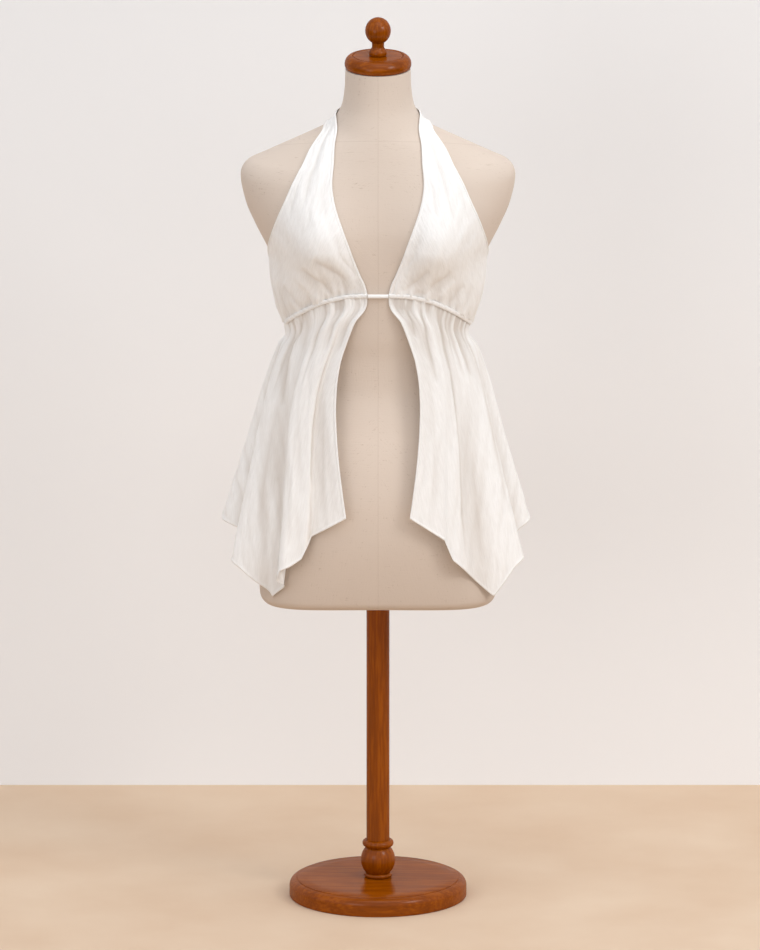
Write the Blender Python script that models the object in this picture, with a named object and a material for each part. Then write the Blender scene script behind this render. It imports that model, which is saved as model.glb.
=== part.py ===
"""A gathered halter neck top, worn on a limbless dress form that stands on a turned wooden stand.

World frame: metres, +Z up, the origin at the middle of the base's underside, the garment's front facing -Y,
so the wearer's left is at +X. Tables are in millimetres and degrees. A "turn" is the angle round the body,
0 at the centre front, 90 at the wearer's left side, 180 at the centre back and 270 at the right side.
"""
import math

import bmesh
import bpy
from mathutils import Vector

MM = 0.001

# Driving sizes of the garment
SEAM_GAP = 0.3          # between two pieces that are sewn together
GATHER_GAP = 0.8        # at the band, where the gathered edges lean outwards
WALL = 1.2              # thickness of a cloth wall
EASE = 1.5              # from the form to the inside of cloth that rests on it
BAND_HEIGHT = 6.0
BAND_WALL = 2.0
BRIDGE_RADIUS = 2.8
SIDE_SEAM_TURN = 96.7
STRAP_JOIN_TURN = 92.0

# Driving sizes of the stand
BASE_RADIUS = 123.0
BASE_HEIGHT = 26.4
POLE_RADIUS = 16.0
FORM_FOOT = 438.0       # the flat underside of the torso
FOOT_ROLL = 12.0        # radius of the torso's rolled bottom edge
NECK_TOP = 1189.0

# Level sections of the torso: squareness is the superellipse's exponent, 2 for an ellipse.
FORM_COLUMNS = ("height", "half_width", "front", "back", "squareness")
FORM_SECTIONS = (
    (450, 164.5, 117, 113, 4.8),   # above the rolled edge, where the section is nearly square
    (485, 166, 118, 116, 3.7),
    (525, 168, 119, 120, 2.9),
    (580, 167, 116, 122, 2.5),     # hips
    (640, 155, 107, 112, 2.35),
    (700, 134, 95, 95, 2.3),
    (750, 119, 87, 82, 2.3),       # waist
    (790, 119, 89, 81, 2.3),
    (823, 125.5, 95, 84, 2.3),     # under the bust
    (861, 137.5, 99, 89, 2.3),
    (886, 143, 101, 92, 2.3),
    (925, 150, 103, 96, 2.3),      # bottom of the armhole
    (970, 171, 102, 98, 2.3),
    (1001, 184, 97, 96, 2.3),
    (1038, 191, 87, 90, 2.2),      # widest at the shoulder ends
    (1048, 188.5, 84, 87, 2.1),
    (1057, 181, 81, 84, 2.0),
    (1064, 166, 78.5, 81.5, 1.95),  # shoulder slope
    (1080, 131, 73, 75.5, 1.9),
    (1096, 95, 67, 69, 1.9),
    (1103, 80, 64, 66, 1.9),
    (1112, 66, 60.5, 62.5, 1.95),
    (1126, 55.5, 55, 57, 2.0),     # neck
    (1137, 50.3, 51.5, 53, 2.0),
    (1150, 47.7, 49, 50.5, 2.0),
    (1168, 46, 47, 48, 2.0),
    (1189, 45.3, 45.5, 46, 2.0),
)

# The form's general bust: two soft mounds pushed out of the chest.
BUST_FROM_CENTRE = 88.0
BUST_HEIGHT = 957.0
BUST_OUT = 34.0
BUST_HALF_WIDTH = 46.0
BUST_REACH_UP = 72.0
BUST_REACH_DOWN = 42.0

# The band's centre line round one half of the body.
BAND_COLUMNS = ("turn", "height")
BAND_LINE = (
    (0, 890), (12, 888.5), (22, 883), (30, 876.5), (38, 868), (48, 857.5),
    (67, 840), (90, 824), (112, 817), (140, 815), (180, 815),
)

# A cup and its strap: each row crosses the piece from its neckline edge to its armhole edge.
CUP_COLUMNS = ("rise", "inner_turn", "inner_height", "outer_turn", "outer_height", "puff")
CUP_SECTIONS = (
    (0.00, 4.2, None, 140, None, 0.5),    # the gathered edge, on the band
    (0.05, 5.2, 905, 128, 852, 4.0),
    (0.12, 7.5, 921, 112, 884, 4.5),
    (0.21, 10.3, 947, 97, 912, 2.5),
    (0.30, 12.0, 971, 80, 933, 1.0),
    (0.40, 14.1, 997, 59, 964, 1.0),
    (0.50, 16.2, 1021, 46, 997, 1.0),
    (0.60, 19.3, 1048, 38.5, 1027, 1.0),
    (0.71, 29.0, 1078, 36.2, 1053, 1.0),
    (0.81, 49.0, 1103, 48.5, 1080, 0.8),
    (0.91, 69.0, 1122, 74.0, 1103, 0.6),
    (1.00, 91.5, 1128.5, 91.5, 1104.5, 0.5),
)

# The strap behind the neck: its two edges from the side of the neck to the nape.
STRAP_COLUMNS = ("turn", "lower", "upper")
STRAP_EDGES = ((92, 1104.5, 1128.5), (120, 1103, 1127), (180, 1102, 1128))

# Level sections of the peplum's mean outline, which its folds stand out from or fall back behind.
PEPLUM_COLUMNS = ("height", "half_width", "front", "back")
PEPLUM_SECTIONS = (
    (440, 233, 147, 148),
    (500, 219, 143, 143),
    (548, 206, 138, 137),
    (588, 195, 134, 131),
    (627, 184, 130, 122),
    (676, 171, 125, 112),
    (712, 162, 121, 106),
    (748, 152, 117, 99),
    (783, 141, 114, 93),
    (812, 130.5, 111, 89),
    (826, 129.5, 110, 88),
    (860, 139.5, 107, 92),
    (890, 145, 104.5, 95),
)
PEPLUM_SQUARENESS = 2.2

# The front panels' free edge at the centre front, from the band to the corner of the hem.
FREE_EDGE_COLUMNS = ("height", "from_centre")
FREE_EDGE = (
    (576, 43.8), (607, 48.3), (661, 54.7), (697, 57.3), (727, 58.3), (758, 57),
    (788, 53), (821, 43.3), (853, 31), (870, 21), (887, 13.8),
)

# The front hem by the share of the panel's width, 0 at the free edge and 1 at the side seam.
FRONT_HEM_COLUMNS = ("share", "right_height", "left_height")
FRONT_HEM = (
    (0.00, 576, 576), (0.08, 563, 561), (0.15, 545, 546), (0.19, 528, 532), (0.24, 508, 514),
    (0.28, 490, 498), (0.32, 468, 483), (0.36, 458, 470), (0.41, 465, 460), (0.50, 482, 478),
    (0.58, 498, 497), (0.66, 516, 520), (0.78, 534, 542), (0.90, 544, 551), (1.00, 546, 553),
)

# The front folds: where each line starts on the band and ends on the hem, and how far out it stands there.
FRONT_FOLD_COLUMNS = ("top_share", "hem_share", "right_out", "left_out")
FRONT_FOLDS = (
    (0.00, 0.000, 0, 0),        # free edge
    (0.07, 0.080, -4, -1),      # flap
    (0.10, 0.155, -6, 0),
    (0.14, 0.190, 7, 4),        # ridge
    (0.28, 0.255, 11, 7),
    (0.33, 0.300, -8, -3),      # trough
    (0.38, 0.360, -11, -6),
    (0.50, 0.460, -1, 0),
    (0.64, 0.560, 10, 9),       # broad flute
    (0.72, 0.610, 9, 8),
    (0.80, 0.700, -14, -10),    # deep trough before the side
    (0.88, 0.820, 0, 0),
    (0.96, 0.930, 11, 3),       # side flute
    (1.00, 1.000, 9, 2),
)

# The back hem and the back folds, right round from the left side seam to the right one.
BACK_HEM_COLUMNS = ("turn", "height")
BACK_HEM = (
    (96, 553), (108, 549), (118, 531), (128, 492), (137, 460), (148, 488), (160, 528), (174, 552),
    (188, 550), (202, 524), (214, 486), (224, 459), (233, 494), (243, 528), (253, 545), (264, 546),
)
BACK_FOLD_COLUMNS = ("turn", "out")
BACK_FOLDS = (
    (95, 2), (102, -8), (112, 8), (121, -10), (133, 11), (143, -9), (153, 8), (163, -7), (174, 7),
    (184, -9), (194, 8), (205, -8), (217, 11), (228, -10), (239, 9), (249, -8), (258, 6), (265, 9),
)

FOLD_START = 0.05       # share of the drop where the folds begin to stand out
FLARE_BLEND = 0.12      # share of the drop over which the peplum leaves the form

# How finely the pieces are cut: columns across, rows down
CUP_MESH = (22, 16)
BAND_MESH = (57, 1)      # its columns meet those of the cups
STRAP_MESH = (22, 3)
FRONT_MESH = (30, 10)
BACK_MESH = (54, 9)
TORSO_AROUND = 40
TORSO_RISE = 30.0       # most that one ring may rise above the ring below it
TORSO_SPREAD = 14.0     # most that one ring may be wider or narrower than the ring below it
TURNED_STEPS = 32

LINEN = (0.77, 0.63, 0.50, 1.0)
COTTON = (0.90, 0.87, 0.83, 1.0)
WOOD = (0.25, 0.09, 0.025, 1.0)


def clear_scene():
    for item in list(bpy.data.objects):
        bpy.data.objects.remove(item, do_unlink=True)


def make_material(name, colour, roughness):
    material = bpy.data.materials.new(name)
    material.use_nodes = True
    shader = material.node_tree.nodes["Principled BSDF"]
    shader.inputs["Base Color"].default_value = colour
    shader.inputs["Roughness"].default_value = roughness
    shader.inputs["Metallic"].default_value = 0.0
    return material


def column(table, names, name):
    return [row[names.index(name)] for row in table]


def smooth_read(keys, values, key):
    """Read a table between its rows with a smooth curve that never overshoots them."""
    key = min(max(key, keys[0]), keys[-1])
    place = max(i for i in range(len(keys) - 1) if keys[i] <= key)
    steps = [b - a for a, b in zip(keys, keys[1:])]
    slopes = [(b - a) / step for a, b, step in zip(values, values[1:], steps)]

    def tangent(i):
        if i == 0 or i == len(slopes):
            return slopes[min(i, len(slopes) - 1)]
        before, after = slopes[i - 1], slopes[i]
        if before * after <= 0:
            return 0.0
        weight_before = 2 * steps[i] + steps[i - 1]
        weight_after = steps[i] + 2 * steps[i - 1]
        return (weight_before + weight_after) / (weight_before / before + weight_after / after)

    step = steps[place]
    t = (key - keys[place]) / step
    return ((1 + 2 * t) * (1 - t) ** 2 * values[place] + t * (1 - t) ** 2 * step * tangent(place)
            + t * t * (3 - 2 * t) * values[place + 1] + t * t * (t - 1) * step * tangent(place + 1))


def read(table, names, key_name, name, key):
    return smooth_read(column(table, names, key_name), column(table, names, name), key)


def ease_in_out(t):
    t = min(max(t, 0.0), 1.0)
    return t * t * (3 - 2 * t)


def between(a, b, t):
    return a + (b - a) * t


def section_point(half_width, front, back, squareness, turn):
    """A point of a level section, in millimetres, at a turn in degrees."""
    power = 2 / squareness
    across, ahead = math.sin(math.radians(turn)), math.cos(math.radians(turn))
    depth = front if ahead > 0 else back
    return (half_width * math.copysign(abs(across) ** power, across),
            -depth * math.copysign(abs(ahead) ** power, ahead))


def form_section(height):
    return [read(FORM_SECTIONS, FORM_COLUMNS, "height", name, height) for name in FORM_COLUMNS[1:]]


def form_point(turn, height):
    """A point on the dress form's skin."""
    half_width, front, back, squareness = form_section(height)
    x, y = section_point(half_width, front, back, squareness, turn)
    if y < 0:
        reach = BUST_REACH_UP if height > BUST_HEIGHT else BUST_REACH_DOWN
        mound = math.exp(-((abs(x) - BUST_FROM_CENTRE) / BUST_HALF_WIDTH) ** 2)
        mound *= math.exp(-((height - BUST_HEIGHT) / reach) ** 2)
        y -= BUST_OUT * mound * math.sqrt(min(1.0, -y / front))
    return Vector((x, y, height))


def form_normal(turn, height):
    side, rise = 0.5, 1.0
    along = form_point(turn + side, height) - form_point(turn - side, height)
    up = form_point(turn, height + rise) - form_point(turn, height - rise)
    return along.cross(up).normalized()


def off_form(turn, height, distance):
    """A point at a distance outside the form."""
    return form_point(turn, height) + form_normal(turn, height) * distance


def band_height(turn):
    half_turn = abs((turn + 180) % 360 - 180)
    return read(BAND_LINE, BAND_COLUMNS, "turn", "height", half_turn)


def cup_point(across, rise):
    """A point on the inside of the left cup: across from the neckline edge, up from the band."""
    def row(name):
        return read(CUP_SECTIONS[1:], CUP_COLUMNS, "rise", name, rise)

    first, second = CUP_SECTIONS[0], CUP_SECTIONS[1]
    on_band = BAND_HEIGHT / 2 + GATHER_GAP
    inner_turn = read(CUP_SECTIONS, CUP_COLUMNS, "rise", "inner_turn", rise)
    outer_turn = read(CUP_SECTIONS, CUP_COLUMNS, "rise", "outer_turn", rise)
    lift = max(0.0, 1 - rise / second[0])
    inner = between(row("inner_height"), band_height(first[1]) + on_band, lift)
    outer = between(row("outer_height"), band_height(first[3]) + on_band, lift)
    turn = between(inner_turn, outer_turn, across)
    chord = between(band_height(first[1]), band_height(first[3]), across)
    bow = band_height(between(first[1], first[3], across)) - chord
    height = between(inner, outer, across) + bow * (1 - rise) ** 4
    puff = read(CUP_SECTIONS, CUP_COLUMNS, "rise", "puff", rise) * math.sin(math.pi * across) ** 0.5
    return off_form(turn, height, EASE + puff)


def band_point(along, down):
    start = CUP_SECTIONS[0][1]
    turn = between(start, 360 - start, along)
    return off_form(turn, band_height(turn) + BAND_HEIGHT * (0.5 - down), EASE)


def strap_point(along, down):
    turn = between(STRAP_JOIN_TURN, 360 - STRAP_JOIN_TURN, along)
    half_turn = turn if turn < 180 else 360 - turn
    lower = read(STRAP_EDGES, STRAP_COLUMNS, "turn", "lower", half_turn)
    upper = read(STRAP_EDGES, STRAP_COLUMNS, "turn", "upper", half_turn)
    return off_form(turn, between(upper, lower, down), EASE)


def peplum_point(turn, height, drop, out):
    """A point of the peplum: it leaves the form below the band, then its folds grow towards the hem."""
    half_width, front, back = [
        read(PEPLUM_SECTIONS, PEPLUM_COLUMNS, "height", name, height) for name in PEPLUM_COLUMNS[1:]]
    x, y = section_point(half_width, front, back, PEPLUM_SQUARENESS, turn)
    outward = Vector((x / half_width ** 2, y / (front if y < 0 else back) ** 2, 0)).normalized()
    grown = max(0.0, (drop - FOLD_START) / (1 - FOLD_START)) ** 0.8
    free = Vector((x, y, height)) + outward * (out * grown)
    return off_form(turn, height, EASE).lerp(free, ease_in_out(drop / FLARE_BLEND))


def free_edge_turn(height):
    """The turn at which the free edge has the distance from the centre that its table gives."""
    from_centre = read(FREE_EDGE, FREE_EDGE_COLUMNS, "height", "from_centre", height)
    half_width = read(PEPLUM_SECTIONS, PEPLUM_COLUMNS, "height", "half_width", height)
    return math.degrees(math.asin((from_centre / half_width) ** (PEPLUM_SQUARENESS / 2)))


def front_fold_out(share, drop, side):
    tops = column(FRONT_FOLDS, FRONT_FOLD_COLUMNS, "top_share")
    hems = column(FRONT_FOLDS, FRONT_FOLD_COLUMNS, "hem_share")
    lines = [between(top, hem, drop ** 0.7) for top, hem in zip(tops, hems)]
    return smooth_read(lines, column(FRONT_FOLDS, FRONT_FOLD_COLUMNS, side + "_out"), share)


def front_peplum_point(share, drop, side):
    """The left front panel's inside; the right one is worked out the same way and then mirrored."""
    hem = read(FRONT_HEM, FRONT_HEM_COLUMNS, "share", side + "_height", share)
    seam_turn = SIDE_SEAM_TURN
    top_turn = between(CUP_SECTIONS[0][1], seam_turn, share)
    top = band_height(top_turn) - BAND_HEIGHT / 2 - GATHER_GAP
    height = between(top, hem, drop)
    turn = between(free_edge_turn(height), seam_turn, share)
    turn = between(top_turn, turn, ease_in_out(drop / FLARE_BLEND))
    return peplum_point(turn, height, drop, front_fold_out(share, drop, side))


def back_peplum_point(along, drop):
    seam = math.degrees(2 * SEAM_GAP / PEPLUM_SECTIONS[0][1])
    turn = between(SIDE_SEAM_TURN + seam, 360 - SIDE_SEAM_TURN - seam, along)
    top = band_height(turn) - BAND_HEIGHT / 2 - GATHER_GAP
    height = between(top, read(BACK_HEM, BACK_HEM_COLUMNS, "turn", "height", turn), drop)
    out = read(BACK_FOLDS, BACK_FOLD_COLUMNS, "turn", "out", turn)
    return peplum_point(turn, height, drop, out)


def add_object(name, mesh_data, material):
    mesh = bpy.data.meshes.new(name)
    mesh_data.to_mesh(mesh)
    mesh_data.free()
    mesh.materials.append(material)
    mesh.shade_smooth()
    thing = bpy.data.objects.new(name, mesh)
    bpy.context.collection.objects.link(thing)
    return thing


def cloth_piece(name, place, size, wall, material, mirrored=False):
    """A flat grid laid on the surface that place(u, v) gives in millimetres, with a wall added outside it."""
    columns, rows = size
    sheet = bmesh.new()
    bmesh.ops.create_grid(sheet, x_segments=columns, y_segments=rows, size=0.5)
    for vertex in sheet.verts:
        point = place(vertex.co.x + 0.5, vertex.co.y + 0.5) * MM
        vertex.co = Vector((-point.x, point.y, point.z)) if mirrored else point
    sheet.normal_update()
    facing = sum(face.normal.xy.dot(face.calc_center_median().xy) for face in sheet.faces)
    if facing < 0:
        bmesh.ops.reverse_faces(sheet, faces=sheet.faces)
    piece = add_object(name, sheet, material)
    thickness = piece.modifiers.new("wall", "SOLIDIFY")
    thickness.thickness = wall * MM
    thickness.offset = 1.0
    return piece


def torso_heights():
    """Ring heights that follow the sections, closer together where the outline changes fast."""
    heights = [FORM_SECTIONS[0][0]]
    for below, above in zip(FORM_SECTIONS, FORM_SECTIONS[1:]):
        steps = math.ceil(max((above[0] - below[0]) / TORSO_RISE, abs(above[1] - below[1]) / TORSO_SPREAD))
        heights += [between(below[0], above[0], (i + 1) / steps) for i in range(steps)]
    return heights


def make_torso(material):
    """Rings from the rolled foot up to the top of the neck, bridged and capped."""
    lowest = FORM_SECTIONS[0][0]
    rings = []
    for angle in (5, 35, 65):
        turned_in = FOOT_ROLL * (1 - math.sin(math.radians(angle)))
        rings.append((lowest - FOOT_ROLL * math.cos(math.radians(angle)), turned_in))
    rings += [(height, 0.0) for height in torso_heights()]
    torso = bmesh.new()
    loops = []
    for height, turned_in in rings:
        loop = []
        for i in range(TORSO_AROUND):
            point = form_point(360 * i / TORSO_AROUND, max(height, lowest))
            point.z = height
            inward = Vector((point.x, point.y, 0)).normalized() * turned_in
            loop.append(torso.verts.new((point - inward) * MM))
        loops.append([torso.edges.new((one, other)) for one, other in zip(loop, loop[1:] + loop[:1])])
    for below, above in zip(loops, loops[1:]):
        bmesh.ops.bridge_loops(torso, edges=below + above)
    bmesh.ops.holes_fill(torso, edges=loops[0] + loops[-1], sides=TORSO_AROUND)
    bmesh.ops.recalc_face_normals(torso, faces=torso.faces)
    body = add_object("torso", torso, material)
    body.data.set_sharp_from_angle(angle=math.radians(60))
    return body


def turned_piece(name, profile, material, steps=TURNED_STEPS):
    """Wood turned on the stand's axis: the profile is (radius, height) pairs, from the bottom to the top."""
    lathe = bmesh.new()
    spots = [lathe.verts.new((radius * MM, 0, height * MM)) for radius, height in profile]
    edges = [lathe.edges.new(pair) for pair in zip(spots, spots[1:])]
    bmesh.ops.spin(lathe, geom=spots + edges, cent=(0, 0, 0), axis=(0, 0, 1), angle=2 * math.pi,
                   steps=steps, use_merge=True)
    bmesh.ops.remove_doubles(lathe, verts=lathe.verts, dist=0.01 * MM)
    bmesh.ops.recalc_face_normals(lathe, faces=lathe.faces)
    piece = add_object(name, lathe, material)
    piece.data.set_sharp_from_angle(angle=math.radians(40))
    return piece


def arc(centre_radius, centre_height, radius, start, end, steps):
    """Profile points along an arc, its angles in degrees from straight outwards."""
    angles = [math.radians(between(start, end, i / steps)) for i in range(steps + 1)]
    return [(centre_radius + radius * math.cos(a), centre_height + radius * math.sin(a)) for a in angles]


def make_stand(wood):
    """Base disc, turned foot, pole, neck cap and ball finial."""
    edge_round = 11.0
    shoulder = BASE_HEIGHT - edge_round
    turned_piece("base_disc", [(0, 0), (BASE_RADIUS - 2, 0), (BASE_RADIUS, 2)]
                 + arc(BASE_RADIUS - edge_round, shoulder, edge_round, 0, 90, 5)
                 + [(0, BASE_HEIGHT)], wood, steps=56)

    foot = BASE_HEIGHT + SEAM_GAP
    ball, ball_height = 23.6, foot + 23.5
    turned_piece("foot_turning", [(0, foot), (17.5, foot)]
                 + arc(16.5, foot + 3.0, 3.0, -60, 60, 3)
                 + arc(0, ball_height, ball, -48, 48, 8)
                 + arc(16.5, ball_height + 22.5, 5.2, -70, 70, 4)
                 + [(17.0, ball_height + 28), (0, ball_height + 28)], wood)

    pole_foot = ball_height + 28 + SEAM_GAP
    turned_piece("pole", [(0, pole_foot), (POLE_RADIUS, pole_foot), (POLE_RADIUS, FORM_FOOT - SEAM_GAP),
                          (0, FORM_FOOT - SEAM_GAP)], wood)

    cap_foot = NECK_TOP + SEAM_GAP
    cap_radius, inset_radius, waist, cap_top = 46.5, 35.5, cap_foot + 6.5, cap_foot + 18.5
    shoulder = [(inset_radius + 1 + (cap_radius - inset_radius - 1) * math.cos(math.radians(angle)),
                 waist + (cap_top - waist) * math.sin(math.radians(angle))) for angle in range(0, 91, 15)]
    turned_piece("neck_cap", [(0, cap_foot), (42.5, cap_foot), (45.6, cap_foot + 2.2)] + shoulder
                 + [(inset_radius, cap_top - 1.2), (inset_radius - 1, cap_top), (0, cap_top)], wood)

    collar = cap_top + SEAM_GAP
    ball_radius, ball_centre = 17.9, 1244.5
    turned_piece("finial", [(0, collar), (11.6, collar), (12.3, collar + 1), (12.3, collar + 6.5),
                            (11.3, collar + 9), (9.2, collar + 11.5), (8.2, collar + 14.5),
                            (8.0, collar + 17.5)]
                 + arc(0, ball_centre, ball_radius, -62, 90, 9)[:-1]
                 + [(0, ball_centre + ball_radius)], wood, steps=32)


def make_bridge(cotton):
    """The short round cord between the cups."""
    turn = CUP_SECTIONS[0][1]
    height = band_height(turn)
    reach = off_form(turn, height, EASE).x - SEAM_GAP
    centre = off_form(0, height, EASE + BRIDGE_RADIUS)
    cord = bmesh.new()
    ends = []
    sides = 12
    for x in (-reach, 0, reach):
        loop = []
        for i in range(sides):
            angle = 2 * math.pi * i / sides
            loop.append(cord.verts.new(Vector((x, centre.y + BRIDGE_RADIUS * math.cos(angle),
                                               centre.z + BRIDGE_RADIUS * math.sin(angle))) * MM))
        ends.append([cord.edges.new((loop[i], loop[(i + 1) % sides])) for i in range(sides)])
    for one, other in zip(ends, ends[1:]):
        bmesh.ops.bridge_loops(cord, edges=one + other)
    bmesh.ops.holes_fill(cord, edges=ends[0] + ends[-1], sides=sides)
    bmesh.ops.recalc_face_normals(cord, faces=cord.faces)
    return add_object("bridge_cord", cord, cotton)


def main():
    clear_scene()
    linen = make_material("linen", LINEN, 0.9)
    cotton = make_material("cotton_gauze", COTTON, 0.85)
    wood = make_material("stained_wood", WOOD, 0.35)

    make_torso(linen)
    make_stand(wood)

    cloth_piece("cup_left", cup_point, CUP_MESH, WALL, cotton)
    cloth_piece("cup_right", cup_point, CUP_MESH, WALL, cotton, mirrored=True)
    cloth_piece("neck_strap", strap_point, STRAP_MESH, WALL, cotton)
    cloth_piece("underbust_band", band_point, BAND_MESH, BAND_WALL, cotton)
    make_bridge(cotton)
    for side, mirrored in (("left", False), ("right", True)):
        cloth_piece("peplum_front_" + side, lambda u, v, side=side: front_peplum_point(u, v, side),
                    FRONT_MESH, WALL, cotton, mirrored)
    cloth_piece("peplum_back", back_peplum_point, BACK_MESH, WALL, cotton)


main()
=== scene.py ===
"""Looks of a gathered halter neck top, worn on a limbless linen dress form with a turned wooden stand.

Every piece is laid over its solid: tables are in millimetres and degrees, and meshes are in metres.
"""
import math
import random

import bmesh
import bpy
import numpy as np
from mathutils import Matrix, Vector


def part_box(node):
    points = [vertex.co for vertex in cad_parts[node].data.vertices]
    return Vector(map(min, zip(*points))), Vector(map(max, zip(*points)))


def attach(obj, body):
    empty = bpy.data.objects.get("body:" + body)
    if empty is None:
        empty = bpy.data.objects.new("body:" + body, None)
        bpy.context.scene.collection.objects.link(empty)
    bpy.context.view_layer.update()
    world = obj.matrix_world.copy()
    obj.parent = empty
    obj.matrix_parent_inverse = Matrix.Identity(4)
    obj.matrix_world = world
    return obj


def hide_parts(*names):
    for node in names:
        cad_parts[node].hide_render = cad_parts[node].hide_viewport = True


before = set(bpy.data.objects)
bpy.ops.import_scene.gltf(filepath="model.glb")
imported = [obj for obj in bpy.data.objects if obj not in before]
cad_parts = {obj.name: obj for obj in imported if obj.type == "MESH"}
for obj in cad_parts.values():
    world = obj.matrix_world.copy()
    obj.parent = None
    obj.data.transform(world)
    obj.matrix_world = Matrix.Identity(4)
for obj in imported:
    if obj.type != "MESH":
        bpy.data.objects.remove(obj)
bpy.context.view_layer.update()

MM = 0.001

# ---- The form and the cut: tables in millimetres and degrees, as the solids have them ----
# A "turn" is the angle round the body: 0 centre front, 90 the wearer's left, 180 centre back.
EASE = 1.5               # from the form to the inside of cloth that rests on it
BAND_HEIGHT = 6.0
BRIDGE_RADIUS = 2.8
SEAM_GAP = 0.3           # between two pieces that are sewn together
SIDE_SEAM_TURN = 96.7
STRAP_JOIN_TURN = 92.0
FOOT_ROLL = 12.0         # radius of the form's rolled bottom edge

FORM_COLUMNS = ("height", "half_width", "front", "back", "squareness")
FORM_SECTIONS = (
    (450, 164.5, 117, 113, 4.8), (485, 166, 118, 116, 3.7), (525, 168, 119, 120, 2.9),
    (580, 167, 116, 122, 2.5), (640, 155, 107, 112, 2.35), (700, 134, 95, 95, 2.3),
    (750, 119, 87, 82, 2.3), (790, 119, 89, 81, 2.3), (823, 125.5, 95, 84, 2.3),
    (861, 137.5, 99, 89, 2.3), (886, 143, 101, 92, 2.3), (925, 150, 103, 96, 2.3),
    (970, 171, 102, 98, 2.3), (1001, 184, 97, 96, 2.3), (1038, 191, 87, 90, 2.2),
    (1048, 188.5, 84, 87, 2.1), (1057, 181, 81, 84, 2.0), (1064, 166, 78.5, 81.5, 1.95),
    (1080, 131, 73, 75.5, 1.9), (1096, 95, 67, 69, 1.9), (1103, 80, 64, 66, 1.9),
    (1112, 66, 60.5, 62.5, 1.95), (1126, 55.5, 55, 57, 2.0), (1137, 50.3, 51.5, 53, 2.0),
    (1150, 47.7, 49, 50.5, 2.0), (1168, 46, 47, 48, 2.0), (1189, 45.3, 45.5, 46, 2.0),
)
BUST_FROM_CENTRE, BUST_HEIGHT, BUST_OUT = 88.0, 957.0, 34.0
BUST_HALF_WIDTH, BUST_REACH_UP, BUST_REACH_DOWN = 46.0, 72.0, 42.0

BAND_COLUMNS = ("turn", "height")
BAND_LINE = (
    (0, 890), (12, 888.5), (22, 883), (30, 876.5), (38, 868), (48, 857.5),
    (67, 840), (90, 824), (112, 817), (140, 815), (180, 815),
)

CUP_COLUMNS = ("rise", "inner_turn", "inner_height", "outer_turn", "outer_height", "puff")
CUP_SECTIONS = (
    (0.00, 4.2, 890, 140, 815, 0.5),    # the gathered edge, on the band
    (0.05, 5.2, 905, 128, 852, 4.0),
    (0.12, 7.5, 921, 112, 884, 4.5),
    (0.21, 10.3, 947, 97, 912, 2.5),
    (0.30, 12.0, 971, 80, 933, 1.0),
    (0.40, 14.1, 997, 59, 964, 1.0),
    (0.50, 16.2, 1021, 46, 997, 1.0),
    (0.60, 18.8, 1048, 38.3, 1027, 1.0),
    (0.71, 27.2, 1078, 36.2, 1053, 1.0),
    (0.81, 46.0, 1103, 48.5, 1080, 0.8),
    (0.91, 68.0, 1120, 72.0, 1104, 0.6),
    (1.00, 91.5, 1126, 91.5, 1107.5, 0.5),
)

STRAP_COLUMNS = ("turn", "lower", "upper")
STRAP_EDGES = ((92, 1107.5, 1126), (120, 1105, 1125), (180, 1102, 1126))

PEPLUM_COLUMNS = ("height", "half_width", "front", "back")
PEPLUM_SQUARENESS = 2.2
PEPLUM_SECTIONS = (
    (440, 233, 147, 148), (500, 219, 143, 143), (548, 206, 138, 137), (588, 195, 134, 131),
    (627, 184, 130, 122), (676, 171, 125, 112), (712, 162, 121, 106), (748, 152, 117, 99),
    (783, 141, 114, 93), (812, 130.5, 111, 89), (826, 129.5, 110, 88), (860, 139.5, 107, 92),
    (890, 145, 104.5, 95),
)

FREE_EDGE_COLUMNS = ("height", "from_centre")
FREE_EDGE = (
    (576, 43.8), (607, 48.3), (661, 54.7), (697, 57.3), (727, 58.3), (758, 57),
    (788, 53), (821, 43.3), (853, 31), (870, 21), (887, 13.8),
)

BACK_HEM_COLUMNS = ("turn", "height")
BACK_HEM = (
    (96, 553), (108, 549), (118, 531), (128, 492), (137, 460), (148, 488), (160, 528), (174, 552),
    (188, 550), (202, 524), (214, 486), (224, 459), (233, 494), (243, 528), (253, 545), (264, 546),
)
FOLD_START = 0.05
FLARE_BLEND = 0.12


def monotone(keys, values):
    """A smooth curve through a table's points that never overshoots them."""
    keys, values = np.asarray(keys, float), np.asarray(values, float)
    steps = np.diff(keys)
    slopes = np.diff(values) / steps
    tangents = np.concatenate([slopes[:1], np.zeros(len(keys) - 2), slopes[-1:]])
    before, after = slopes[:-1], slopes[1:]
    near = 2 * steps[1:] + steps[:-1]
    far = steps[1:] + 2 * steps[:-1]
    turning = before * after <= 0
    before, after = np.where(turning, 1.0, before), np.where(turning, 1.0, after)
    tangents[1:-1] = np.where(turning, 0.0, (near + far) / (near / before + far / after))

    def at(key):
        key = np.clip(key, keys[0], keys[-1])
        i = np.clip(np.searchsorted(keys, key, side="right") - 1, 0, len(steps) - 1)
        step = steps[i]
        t = (key - keys[i]) / step
        return ((1 + 2 * t) * (1 - t) ** 2 * values[i] + t * (1 - t) ** 2 * step * tangents[i]
                + t * t * (3 - 2 * t) * values[i + 1] + t * t * (t - 1) * step * tangents[i + 1])
    return at


def curves(table, names):
    """One smooth curve for each named column after the first, which is the key."""
    keys = [row[0] for row in table]
    return {name: monotone(keys, [row[i] for row in table]) for i, name in enumerate(names) if i}


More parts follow.
